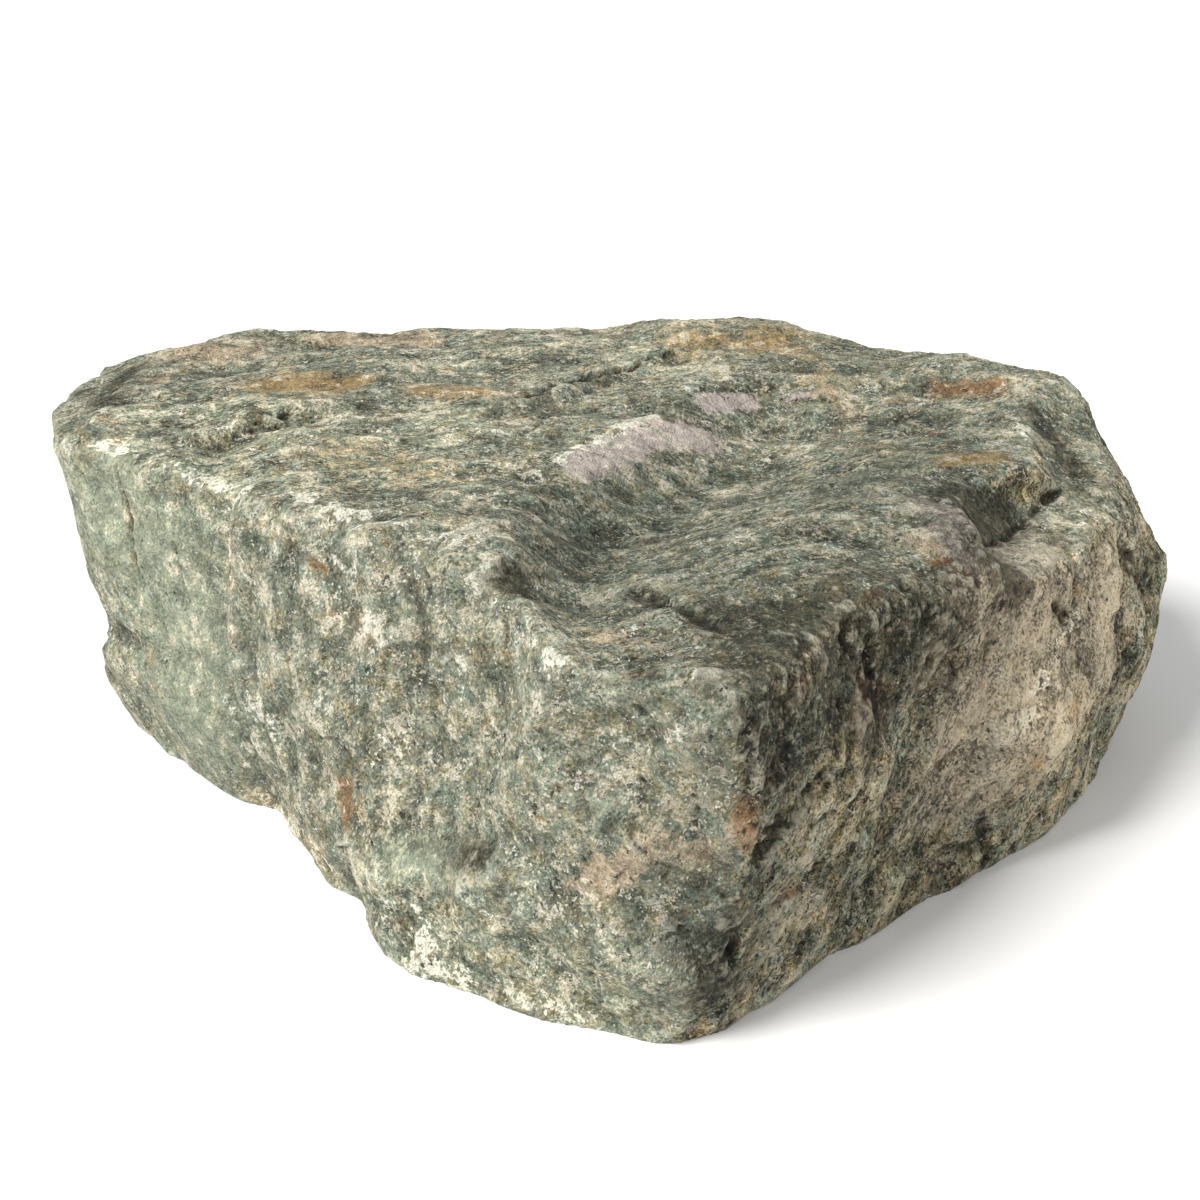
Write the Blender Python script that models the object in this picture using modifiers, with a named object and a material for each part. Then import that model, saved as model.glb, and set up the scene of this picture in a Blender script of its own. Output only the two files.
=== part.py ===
"""A rough rock: one broken block of green foliated schist, lying on its flattest face.

The block is about 0.39 m long, 0.29 m deep and 0.12 m high. +X runs along its length, +Y towards
its back and +Z up. The origin is at the middle of its box, at the level that it rests on.

It broke out of its outcrop along flat joints, so each chunk of it is the hull of a few corners.
The chunks are joined into one solid, and its broken edges are worn round. Then the ledges, lumps
and hollows of each face are worked in, with the ribs that its layers leave where they weather.
Last, the base is cut flat and the solid is put over the origin.
"""
import bmesh
import bpy
from mathutils import Vector, noise
import numpy as np

MM = 0.001              # metres in a millimetre: every size and place below is in mm
VOXEL = 3.0             # cell of the mesh that the surface is worked on
WEAR_ROUNDS = 7         # how far the broken edges are worn round
TRIANGLES = 10600       # kept where the surface is thinned, before the base is cut away
SHARP_ANGLE = 0.7       # radians between two faces, past which their edge is shaded sharp

# The layers of the schist run along X and lean back as they rise. Weather leaves ribs across them.
LAYER_NORMAL = (-0.10, 0.86, -0.50)
RIB_SPACING = 11
RIB_LENGTH = 60
RIB_HEIGHT = 1.8
SWELL_SIZE = 38
SWELL_HEIGHT = 2.2

STONE_COLOUR = (0.29, 0.285, 0.21, 1.0)
STONE_ROUGHNESS = 0.85

# Corners of each chunk. The lowest ones are under the base plane, which cuts them off.
CHUNKS = {
    "main_block": [
        # rim of the top, from the left end of the front face round by the back to the right face
        (-132, -20, 112), (-150, 60, 113), (-118, 134, 111), (-68, 137, 112), (34, 144, 113),
        (84, 123, 110), (112, 104, 110), (142, 88, 110), (139, 40, 109), (131, 8, 106), (97, -50, 103),
        (74, -50, 109), (10, -118, 108), (-40, -84, 110), (-54, -55, 114), (-80, -47, 113), (-100, -38, 113),
        # widest part of the sides
        (-138, -28, 60), (-112, -56, 56), (-60, -84, 60), (100, -52, 60), (128, 104, 60), (30, 150, 66),
        (0, 144, 24), (-60, 146, 50), (-100, 132, 50),
        # base
        (-125, -33, -6), (-107, -62, -6), (-88, -95, -6), (-74, -112, -6), (-50, -125, -6), (30, -114, -6),
        (52, -92, -6), (79, -74, -6), (104, -52, -6), (112, 92, -6), (60, 124, -6), (-40, 122, -6),
        (-110, 110, -6),
    ],
    "nose": [
        (-50, -58, 112), (-43, -80, 109), (-38, -96, 108), (-34, -112, 108), (12, -131, 107), (72, -52, 109),
        (-44, -118, 55), (-20, -130, 60), (15, -137, 60), (60, -92, 60),
        (-70, -114, -6), (-34, -131, -6), (-4, -139, -6), (12, -132, -6), (50, -93, -6),
    ],
    "left_wing": [
        (-130, -14, 111), (-150, -6, 110), (-176, 12, 109), (-200, 28, 108), (-188, 40, 112), (-186, 84, 112),
        (-208, 40, 105), (-214, 66, 106), (-213, 100, 105), (-199, 122, 107), (-160, 135, 112),
        (-118, 136, 112),
        (-140, -22, 50), (-176, 6, 52), (-196, 20, 60), (-206, 86, 50), (-144, 130, 50), (-192, 36, 14),
        (-146, -16, -6), (-152, -8, -6), (-183, 22, -6), (-180, 90, -6), (-110, 108, -6),
    ],
    "left_foot": [
        (-80, 60, 40), (-140, -25, 40), (-175, -2, 40), (-197, 18, 38), (-200, 32, 14), (-180, 80, 30),
        (-189, 28, -6), (-155, -8, -6), (-142, -21, -6), (-120, -28, -6), (-80, 60, -6), (-150, 90, -6),
    ],
    "right_shoulder": [
        (120, 104, 106), (100, -24, 95), (121, -2, 95), (137, 21, 95), (148, 10, 90), (155, 50, 96),
        (96, -46, 94), (110, -38, 93), (127, -16, 93),
        (149, 76, 107), (148, 94, 106),
        (162, 44, 82), (174, 38, 60), (172, 74, 60), (100, -61, 50), (124, -47, 44), (166, 12, 44),
        (60, 0, 40), (173, 46, 38),
        (78, -75, -6), (122, -41, -6), (149, 0, -6), (163, 27, -6), (148, 74, -6), (100, 100, -6),
    ],
}

# Corners of the pieces that broke out of it and are gone.
CHIPS = {
    "notch": [
        (86, -38, 111), (83, -9, 112), (97, -3, 112), (108, 1, 112), (94, -33, 98), (101, -18, 94),
        (113, -2, 94), (130, 19, 95), (146, 8, 93), (128, -14, 94), (111, -38, 94), (98, -48, 96),
        (110, -20, 140), (150, 8, 120), (124, -50, 120), (97, -60, 116), (99, -60, 97), (126, -50, 92),
    ],
    "scarp": [
        (109, 3, 113), (121, 37, 113), (124, 66, 113), (134, 84, 114), (128, 17, 97), (137, 38, 99),
        (143, 66, 104), (154, 8, 90), (156, 42, 98), (158, 66, 103), (150, 40, 130), (170, 10, 112),
        (172, 80, 112),
    ],
    "right_edge": [
        (21, -120, 108), (47, -84, 109), (87, -48, 106), (26, -120, 103), (56, -93, 95), (95, -55, 93),
        (32, -128, 112), (66, -104, 112), (106, -66, 108), (22, -121, 116), (50, -88, 125), (92, -52, 122),
    ],
    "back_spall": [
        (-120, 150, 98), (-70, 160, 96), (-30, 152, 70), (-50, 128, 40), (-110, 122, 44),
        (-130, 120, 66), (-90, 180, 70), (-70, 160, 20), (-110, 150, 20),
    ],
    "right_back_spall": [
        (150, 96, 92), (120, 112, 96), (90, 128, 60), (120, 104, 30), (150, 78, 40),
        (180, 120, 60), (140, 150, 60), (130, 130, 10), (160, 96, 10),
    ],
}

# Steps in the faces. On the right of its line, as the line runs, the face drops by "drop" across
# the width "edge", and it comes back up over the width "run". A negative drop is a rise.
LEDGES = {
    "crest": {
        "line": [(-54, -58, 112), (-46, -14, 114), (-31, 4, 114), (9, 60, 114), (30, 78, 113), (72, 92, 112)],
        "drop": 10, "edge": 30, "run": 95,
    },
    "nose_lip": {"line": [(-32, -116, 107), (-41, -92, 108), (-50, -66, 111)], "drop": 4, "edge": 13, "run": 48},
    "nose_step": {"line": [(-22, -86, 104), (-6, -92, 104), (18, -106, 106)], "drop": 3, "edge": 5, "run": 22},
    "foot_ledge": {"line": [(-202, 34, 42), (-174, 6, 36), (-142, -16, 38)], "drop": -3, "edge": 6, "run": 24},
    "top_crack": {
        "line": [(-57, 50, 112), (-42, 60, 112), (-22, 84, 112), (2, 106, 112)],
        "drop": 4, "edge": 5, "run": 34,
    },
    "left_hollow": {"line": [(-152, 32, 112), (-136, 42, 112), (-124, 50, 112)], "drop": 5, "edge": 5, "run": 26},
    "back_layers": {
        "line": [(-120, 140, 60), (-20, 150, 76), (60, 140, 70), (120, 100, 66)],
        "drop": 5, "edge": 6, "run": 40,
    },
}

# Swellings along a line: how far they reach from it and how high they stand. A negative height is
# a hollow.
LUMPS = {
    "front_ridge": {"line": [(-131, -20, 100), (-138, -28, 60), (-130, -38, 30)], "reach": 10, "height": 3},
    "front_lump": {"line": [(-26, -134, 30), (-6, -138, 26)], "reach": 18, "height": 4},
    "soft_ridge": {"line": [(-92, -86, 20), (-66, -104, 32), (-44, -122, 36)], "reach": 16, "height": 3},
    "chipped_corner": {"line": [(-18, -124, 84), (2, -128, 72)], "reach": 26, "height": -6},
    "valley_floor": {"line": [(-22, -30, 104), (4, 4, 106), (36, 40, 108)], "reach": 40, "height": -4},
    "right_swell": {"line": [(60, 60, 110), (90, 60, 110)], "reach": 36, "height": 3},
    "back_swell": {"line": [(4, 138, 112), (34, 137, 112)], "reach": 28, "height": 4},
    "right_rim": {"line": [(104, 92, 110), (138, 84, 108)], "reach": 28, "height": 3},
    "left_rim": {"line": [(-200, 70, 106), (-200, 40, 106)], "reach": 24, "height": 1},
    "base_bay": {"line": [(-98, -80, 8), (-96, -76, -2)], "reach": 14, "height": -4},
}


def remove_all_objects():
    for obj in list(bpy.data.objects):
        bpy.data.objects.remove(obj, do_unlink=True)


def new_collection(name):
    collection = bpy.data.collections.new(name)
    bpy.context.scene.collection.children.link(collection)
    return collection


def hull(name, corners, collection):
    """The convex hull of the corners, as an object."""
    bm = bmesh.new()
    for corner in corners:
        bm.verts.new(Vector(corner) * MM)
    made = bmesh.ops.convex_hull(bm, input=bm.verts)
    inner = set(made["geom_interior"] + made["geom_unused"])
    bmesh.ops.delete(bm, geom=[part for part in inner if isinstance(part, bmesh.types.BMVert)], context="VERTS")
    mesh = bpy.data.meshes.new(name)
    bm.to_mesh(mesh)
    bm.free()
    obj = bpy.data.objects.new(name, mesh)
    collection.objects.link(obj)
    return obj


def combine(target, tool, operation):
    """Join the tool to the target, or cut it away."""
    tool.hide_render = True
    tool.display_type = "WIRE"
    step = target.modifiers.new(tool.name, "BOOLEAN")
    step.operation = operation
    step.solver = "EXACT"
    step.object = tool


def apply_modifiers(obj):
    graph = bpy.context.evaluated_depsgraph_get()
    mesh = bpy.data.meshes.new_from_object(obj.evaluated_get(graph))
    obj.modifiers.clear()
    obj.data = mesh


def broken_block(collection):
    """The chunks joined, the chips cut out, and the edges worn round, as one object."""
    cutters = new_collection("cutters")
    block = hull("rock", CHUNKS["main_block"], collection)
    for name, corners in CHUNKS.items():
        if name != "main_block":
            combine(block, hull(name, corners, cutters), "UNION")
    for name, corners in CHIPS.items():
        combine(block, hull(name, corners, cutters), "DIFFERENCE")
    apply_modifiers(block)
    cells = block.modifiers.new("cells", "REMESH")
    cells.mode = "VOXEL"
    cells.voxel_size = VOXEL * MM
    wear = block.modifiers.new("wear", "SMOOTH")
    wear.iterations = WEAR_ROUNDS
    wear.factor = 0.5
    apply_modifiers(block)
    return block


def vertex_values(mesh, name):
    values = np.empty(len(mesh.vertices) * 3)
    mesh.vertices.foreach_get(name, values)
    return values.reshape(-1, 3)


def nearest_on_line(points, line):
    """Each point's offset from the line, and the heading of the line where it is nearest."""
    nearest = np.full(len(points), np.inf)
    offset = np.zeros_like(points)
    heading = np.zeros_like(points)
    for start, end in zip(line[:-1], line[1:]):
        stretch = np.array(end, dtype=float) - np.array(start, dtype=float)
        from_start = points - np.array(start, dtype=float)
        along = np.clip(from_start @ stretch / (stretch @ stretch), 0.0, 1.0)
        away = from_start - along[:, None] * stretch
        distance = np.linalg.norm(away, axis=1)
        nearer = distance < nearest
        nearest[nearer] = distance[nearer]
        offset[nearer] = away[nearer]
        heading[nearer] = stretch / np.linalg.norm(stretch)
    return offset, heading


def smooth_step(low, high, values):
    t = np.clip((values - low) / (high - low), 0.0, 1.0)
    return t * t * (3.0 - 2.0 * t)


def ledge_height(points, normals, line, drop, edge, run):
    offset, heading = nearest_on_line(points, line)
    to_right = np.sum(offset * np.cross(heading, normals), axis=1)
    past_end = np.sqrt(np.maximum(np.sum(offset ** 2, axis=1) - to_right ** 2, 0.0))
    fall = smooth_step(0.0, edge, to_right) * (1.0 - smooth_step(edge, run, to_right))
    return -drop * fall * (1.0 - smooth_step(0.0, run / 2, past_end))


def lump_height(points, line, reach, height):
    offset = nearest_on_line(points, line)[0]
    return height * (1.0 - smooth_step(0.0, reach, np.linalg.norm(offset, axis=1)))


def weathered_height(points):
    """The ribs of the layers, on low swells, at each point."""
    across = Vector(LAYER_NORMAL).normalized()
    level = Vector((1, 0, 0)) - Vector((1, 0, 0)).project(across)
    level.normalize()
    dip = across.cross(level)
    heights = []
    for point in points:
        place = Vector(point)
        swell = noise.noise(place / SWELL_SIZE)
        on_rib = (place.dot(level) / RIB_LENGTH, place.dot(dip) / RIB_LENGTH, place.dot(across) / RIB_SPACING)
        rib = noise.fractal(Vector(on_rib), 0.8, 2.0, 3)
        heights.append(SWELL_HEIGHT * swell + RIB_HEIGHT * rib)
    return np.array(heights)


def work_surface(block):
    """Raise and lower the surface along its normals, and thin its mesh where it is flat."""
    mesh = block.data
    points = vertex_values(mesh, "co") / MM
    normals = vertex_values(mesh, "normal")
    height = weathered_height(points)
    for ledge in LEDGES.values():
        height += ledge_height(points, normals, **ledge)
    for lump in LUMPS.values():
        height += lump_height(points, **lump)
    worked = (points + normals * height[:, None]) * MM
    mesh.vertices.foreach_set("co", worked.ravel())
    mesh.update()
    ease = block.modifiers.new("ease", "SMOOTH")
    ease.iterations = 1
    ease.factor = 0.5
    thin = block.modifiers.new("thin", "DECIMATE")
    thin.ratio = TRIANGLES / (2 * len(mesh.polygons))
    apply_modifiers(block)


def cut_base(block):
    """Cut the block flat at the base plane and close it with one flat face."""
    bm = bmesh.new()
    bm.from_mesh(block.data)
    everything = bm.verts[:] + bm.edges[:] + bm.faces[:]
    cut = bmesh.ops.bisect_plane(bm, geom=everything, plane_co=(0, 0, 0), plane_no=(0, 0, 1), clear_inner=True)
    outline = [part for part in cut["geom_cut"] if isinstance(part, bmesh.types.BMEdge)]
    bmesh.ops.contextual_create(bm, geom=outline)
    bmesh.ops.recalc_face_normals(bm, faces=bm.faces)
    bm.to_mesh(block.data)
    bm.free()


def put_over_origin(block):
    points = vertex_values(block.data, "co")
    middle = (points.min(axis=0) + points.max(axis=0)) / 2
    points[:, :2] -= middle[:2]
    block.data.vertices.foreach_set("co", points.ravel())
    block.data.update()


def schist_material():
    material = bpy.data.materials.new("schist")
    material.use_nodes = True
    shader = material.node_tree.nodes["Principled BSDF"]
    shader.inputs["Base Color"].default_value = STONE_COLOUR
    shader.inputs["Roughness"].default_value = STONE_ROUGHNESS
    shader.inputs["Metallic"].default_value = 0.0
    return material


def build():
    remove_all_objects()
    block = broken_block(new_collection("rough_rock"))
    for tool in list(bpy.data.collections["cutters"].objects):
        bpy.data.objects.remove(tool)
    work_surface(block)
    cut_base(block)
    put_over_origin(block)
    block.data.materials.append(schist_material())
    block.data.shade_smooth()
    block.data.set_sharp_from_angle(angle=SHARP_ANGLE)


build()
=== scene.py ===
"""A rough rock: one broken block of green foliated schist, lying on its flattest face."""
import math

import bpy
import numpy as np
from mathutils import Matrix, Vector, kdtree, noise


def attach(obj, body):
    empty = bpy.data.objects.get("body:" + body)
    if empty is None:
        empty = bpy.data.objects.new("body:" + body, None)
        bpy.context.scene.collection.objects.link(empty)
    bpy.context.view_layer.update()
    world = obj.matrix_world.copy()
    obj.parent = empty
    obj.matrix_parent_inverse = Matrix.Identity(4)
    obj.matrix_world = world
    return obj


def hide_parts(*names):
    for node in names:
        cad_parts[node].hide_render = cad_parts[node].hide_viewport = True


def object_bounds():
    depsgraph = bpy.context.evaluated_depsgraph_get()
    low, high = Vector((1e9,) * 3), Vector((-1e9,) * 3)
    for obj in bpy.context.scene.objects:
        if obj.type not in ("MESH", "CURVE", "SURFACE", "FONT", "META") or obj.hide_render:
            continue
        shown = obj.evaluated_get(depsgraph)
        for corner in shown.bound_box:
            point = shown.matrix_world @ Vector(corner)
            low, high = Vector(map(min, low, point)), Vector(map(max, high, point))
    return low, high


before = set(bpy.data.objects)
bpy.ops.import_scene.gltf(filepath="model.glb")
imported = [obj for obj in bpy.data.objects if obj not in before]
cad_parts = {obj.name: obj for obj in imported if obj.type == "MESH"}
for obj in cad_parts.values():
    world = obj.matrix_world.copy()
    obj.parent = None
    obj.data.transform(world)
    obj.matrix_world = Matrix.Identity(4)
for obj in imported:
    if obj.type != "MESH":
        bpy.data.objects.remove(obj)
cad_low, cad_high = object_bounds()
bpy.ops.object.select_all(action="DESELECT")
MM = 0.001

# ----------------------------------------------------------------------
# The camera looks down on the rock from just above its front, with a normal lens.
# ----------------------------------------------------------------------
FRAME = 1200                # the view is counted in 1200 steps across and 1200 down
EYE = Vector((-0.00255, -0.48623, 0.321))
LOOKS_DOWN = math.radians(28)
SENSOR = 36.0
LENS = 50.01

camera_data = bpy.data.cameras.new("camera")
camera_data.sensor_width = SENSOR
camera_data.lens = LENS
camera_data.clip_start = 0.02
camera_data.clip_end = 60
camera = bpy.data.objects.new("camera", camera_data)
camera.location = EYE
camera.rotation_euler = (math.pi / 2 - LOOKS_DOWN, 0, 0)
bpy.context.scene.collection.objects.link(camera)
bpy.context.scene.camera = camera


def sight_line(across, down):
    """The direction from the eye through a point of the view."""
    steps = LENS / SENSOR * FRAME
    ahead = Vector((0, math.cos(LOOKS_DOWN), -math.sin(LOOKS_DOWN)))
    up = Vector((0, math.sin(LOOKS_DOWN), math.cos(LOOKS_DOWN)))
    right = Vector((1, 0, 0))
    return (ahead + right * ((across - FRAME / 2) / steps) - up * ((down - FRAME / 2) / steps)).normalized()


# ----------------------------------------------------------------------
# The floor is a wide sheet of pale studio card that the rock lies on. It is not part of the
# object.
# ----------------------------------------------------------------------
FLOOR_SIZE = 30.0
FLOOR_COLOUR = (0.86, 0.86, 0.855, 1)
FLOOR_ROUGHNESS = 0.9
FLOOR_SHINE = 0.1

bpy.ops.mesh.primitive_grid_add(x_subdivisions=8, y_subdivisions=8, size=FLOOR_SIZE, location=(0, 0, 0))
floor = bpy.context.object
floor.name = "floor"
card = bpy.data.materials.new("studio_card")
card.use_nodes = True
card_finish = card.node_tree.nodes["Principled BSDF"]
card_finish.inputs["Base Color"].default_value = FLOOR_COLOUR
card_finish.inputs["Roughness"].default_value = FLOOR_ROUGHNESS
card_finish.inputs["Specular IOR Level"].default_value = FLOOR_SHINE
floor.data.materials.append(card)

# ----------------------------------------------------------------------
# The light is one broad soft lamp from the upper left. A weak lamp at the right and pale walls
# all round fill the shaded side.
# ----------------------------------------------------------------------
KEY_FROM = Vector((-0.62, -0.26, 0.74))
KEY_STRENGTH = 3.9
KEY_SPREAD = math.radians(24)
KEY_COLOUR = (1.0, 0.99, 0.97)
FILL_PLACE = Vector((1.7, -0.9, 0.9))
FILL_WIDTH = 1.4
FILL_POWER = 8.0
AIMED_AT = Vector((0, 0, 0.05))
WALLS = (1.0, 1.0, 1.0, 1)
WALLS_STRENGTH = 0.52

key_data = bpy.data.lights.new("key", "SUN")
key_data.energy = KEY_STRENGTH
key_data.angle = KEY_SPREAD
key_data.color = KEY_COLOUR
key = bpy.data.objects.new("key", key_data)
key.rotation_euler = (-KEY_FROM).to_track_quat("-Z", "Y").to_euler()
fill_data = bpy.data.lights.new("fill", "AREA")
fill_data.size = FILL_WIDTH
fill_data.energy = FILL_POWER
fill = bpy.data.objects.new("fill", fill_data)
fill.location = FILL_PLACE
fill.rotation_euler = (AIMED_AT - FILL_PLACE).to_track_quat("-Z", "Y").to_euler()
for lamp in (key, fill):
    bpy.context.scene.collection.objects.link(lamp)

walls = bpy.data.worlds.new("studio_walls")
walls.use_nodes = True
walls.node_tree.nodes["Background"].inputs["Color"].default_value = WALLS
walls.node_tree.nodes["Background"].inputs["Strength"].default_value = WALLS_STRENGTH
bpy.context.scene.world = walls
bpy.context.scene.view_settings.view_transform = "Standard"

# ----------------------------------------------------------------------
# The rock is one block of schist, a stone of thin wavy layers of dark green chlorite and pale
# quartz. It broke out of its outcrop along flat joints, and nothing was carved or fixed to it.
# ----------------------------------------------------------------------
CELL = 1.0                  # mm, the grain of the mesh that the surface is worked on
WORN_ROUNDS = 5             # how often its edges are rounded, as wear does
BROKEN_SHARP = 0.30         # how far its broken edges stand sharper than worn ones, as a share
BROKEN_ROUNDS = 24          # how wide the forms are that are sharpened
TRIANGLES = 194000

# The layers run along X and lean back as they rise.
ACROSS_LAYERS = Vector((-0.10, 0.86, -0.50)).normalized()
ALONG_LAYERS = (Vector((1, 0, 0)) - ACROSS_LAYERS * ACROSS_LAYERS.x).normalized()
UP_LAYERS = ACROSS_LAYERS.cross(ALONG_LAYERS)
LAYERS_TURN = Matrix((ALONG_LAYERS, UP_LAYERS, ACROSS_LAYERS)).transposed().to_euler()

cad_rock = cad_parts["rock"]
rock = cad_rock.copy()
rock.data = cad_rock.data.copy()
rock.name = "rough_rock"
rock.data.name = "rough_rock"
rock.parent = None
bpy.context.scene.collection.objects.link(rock)
bpy.context.view_layer.objects.active = rock
rock.select_set(True)
rock.data.materials.clear()
for name in [layer.name for layer in rock.data.attributes if layer.name.startswith("custom_normal")]:
    rock.data.attributes.remove(rock.data.attributes[name])

bpy.ops.object.mode_set(mode="EDIT")
bpy.ops.mesh.select_all(action="SELECT")
bpy.ops.mesh.remove_doubles(threshold=0.01 * MM)
bpy.ops.object.mode_set(mode="OBJECT")


def apply_modifier(kind, **settings):
    """Add a modifier to the rock, give it its settings and apply it."""
    modifier = rock.modifiers.new(kind.lower(), kind)
    for setting, value in settings.items():
        setattr(modifier, setting, value)
    bpy.ops.object.modifier_apply(modifier=modifier.name)


apply_modifier("REMESH", mode="VOXEL", voxel_size=CELL * MM, use_smooth_shade=True)
apply_modifier("SMOOTH", factor=0.5, iterations=WORN_ROUNDS)


def places():
    """Every corner of the rock's mesh, in mm."""
    flat = np.empty(len(rock.data.vertices) * 3)
    rock.data.vertices.foreach_get("co", flat)
    return flat.reshape(-1, 3) / MM


def put_places(new_places):
    rock.data.vertices.foreach_set("co", (new_places * MM).ravel())
    rock.data.update()


def facing():
    """The direction that the surface faces at every corner."""
    flat = np.empty(len(rock.data.vertices) * 3, np.float32)
    rock.data.vertex_normals.foreach_get("vector", flat)
    return flat.reshape(-1, 3).astype(float)


def evened(values, rounds):
    """Values at the corners, each averaged with its neighbours' again and again."""
    ends = np.empty(len(rock.data.edges) * 2, np.int64)
    rock.data.edges.foreach_get("vertices", ends)
    start, end = ends[0::2], ends[1::2]
    count = len(rock.data.vertices)
    shared = np.bincount(start, minlength=count) + np.bincount(end, minlength=count) + 1.0
    values = values.reshape(count, -1).copy()
    for _ in range(rounds):
        for column in range(values.shape[1]):
            old = values[:, column]
            total = np.bincount(start, old[end], count) + np.bincount(end, old[start], count) + old
            values[:, column] = total / shared
    return values


def ramp(values, low, high):
    """0 below low, 1 above high, and smooth between them."""
    part = np.clip((values - low) / (high - low), 0, 1)
    return part * part * (3 - 2 * part)


def distance_from(points, line):
    """How far each place is from a line of points."""
    nearest = np.full(len(points), 1e9)
    for start, end in zip(line[:-1], line[1:]):
        way = end - start
        part = np.clip((points - start) @ way / (way @ way), 0, 1)
        nearest = np.minimum(nearest, np.linalg.norm(points - start - part[:, None] * way, axis=1))
    return nearest


# Breaking left the ridges and the hollows between them sharper than wear does.
worn_places = places()
put_places(worn_places + BROKEN_SHARP * (worn_places - evened(worn_places, BROKEN_ROUNDS)))

# ----------------------------------------------------------------------
# Its faces broke in different ways. The top and the right face are split across the layers and
# rough, the left end is a smooth joint, and a plane of slip on the right face is rubbed flat.
# ----------------------------------------------------------------------
SLIP_BAND = np.array([(121, -37, 96), (120, -55, 75), (113, -66, 50), (95, -79, 37)])

at = places()
faces_to = evened(facing(), 10)
faces_to /= np.linalg.norm(faces_to, axis=1)[:, None]
off_base = ramp(at[:, 2], 0.2, 4.0)
top_part = ramp(faces_to[:, 2], 0.55, 0.85)
right_part = ramp(faces_to[:, 0], -0.05, 0.35) * ramp(-faces_to[:, 1], -0.2, 0.2) * (1 - top_part)
left_end = ramp(-at[:, 0], 108, 118) * ramp(-faces_to[:, 1], 0.1, 0.4) * (1 - top_part)
rubbed = 1 - ramp(distance_from(at, SLIP_BAND), 8, 24)
upper = ramp(at[:, 2], 62, 80) * ramp(115 - at[:, 0], 0, 20)
plain_relief = off_base * (0.85 - 0.40 * left_end + 0.15 * right_part - 0.20 * top_part)
broken_relief = off_base * (0.15 + 0.85 * right_part) * (1 - 0.8 * left_end) * (1 - 0.75 * rubbed)
chipped = off_base * (1.0 - 0.45 * top_part - 0.45 * right_part) * (1 - 0.6 * left_end) * (1 - 0.5 * rubbed)
pitted_relief = off_base * right_part * (1 - 0.9 * rubbed) * (0.5 + 0.5 * upper)


def name_part(name, weights):
    """Keep weights for the corners under a name, for the modifiers to read."""
    group = rock.vertex_groups.new(name=name)
    steps = np.round(np.clip(weights, 0, 1) * 40).astype(int)
    for step in range(1, 41):
        chosen = np.nonzero(steps == step)[0]
        if len(chosen):
            group.add(chosen.tolist(), step / 40, "REPLACE")


name_part("plain_relief", plain_relief)
name_part("broken_relief", broken_relief)
name_part("pitted_relief", pitted_relief)

# ----------------------------------------------------------------------
# Breaking and weather left flakes, ribs, scars, slivers and pits in the layers, from 1.5 mm high
# down to single grains. They are the stone itself.
# ----------------------------------------------------------------------
RELIEF = {
    # name: (lengths along the layers, up them and across them in mm, height, where, form, profile)
    "flakes": ((22, 19, 9), 1.5, "plain_relief", "rounded", "stepped"),
    "ribs": ((13, 12, 5), 0.8, "plain_relief", "rounded", "stepped"),
    "scars": ((16, 22, 7), 1.2, "broken_relief", "scooped", "plain"),
    "slivers": ((10, 14, 2.4), 0.7, "broken_relief", "rounded", "stepped"),
    "pits": ((3.0, 5.0, 1.7), 0.8, "pitted_relief", "rounded", "pitted"),
    "grain": ((2.4, 2.8, 1.8), 0.4, "plain_relief", "rounded", "plain"),
}
PROFILES = {
    # how the height follows the pattern: stops of (pattern, height)
    "plain": [(0.2, 0.0), (0.8, 1.0)],
    "stepped": [(0.0, 0.0), (0.38, 0.10), (0.40, 0.36), (0.50, 0.42), (0.52, 0.66), (0.62, 0.72),
                (0.64, 1.0)],
    "pitted": [(0.0, 0.0), (0.36, 0.1), (0.43, 0.9), (0.60, 1.0)],
}


def work_relief(name, lengths, height, part, form, profile):
    """Raise one grade of relief out of the surface, laid along the layers."""
    grain_space = bpy.data.objects.new(name, None)
    grain_space.rotation_euler = LAYERS_TURN
    grain_space.scale = [length * MM for length in lengths]
    bpy.context.scene.collection.objects.link(grain_space)
    bpy.context.view_layer.update()
    pattern = bpy.data.textures.new(name, "VORONOI" if form == "scooped" else "CLOUDS")
    pattern.noise_scale = 1.0
    if form != "scooped":
        pattern.noise_depth = 2
        pattern.noise_basis = "ORIGINAL_PERLIN"
        pattern.noise_type = "SOFT_NOISE"
    pattern.use_color_ramp = True
    stops = pattern.color_ramp.elements
    rows = PROFILES[profile]
    while len(stops) < len(rows):
        stops.new(0.5)
    for stop, (place, level) in zip(stops, rows):
        stop.position = place
    for stop, (place, level) in zip(stops, rows):
        stop.color = (level, level, level, 1)
    apply_modifier("DISPLACE", texture=pattern, texture_coords="OBJECT", texture_coords_object=grain_space,
                   strength=height * MM, mid_level=0.5, vertex_group=part, direction="NORMAL")
    bpy.data.objects.remove(grain_space)
    bpy.data.textures.remove(pattern)


for name, (lengths, height, part, form, profile) in RELIEF.items():
    work_relief(name, lengths, height, part, form, profile)

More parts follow.
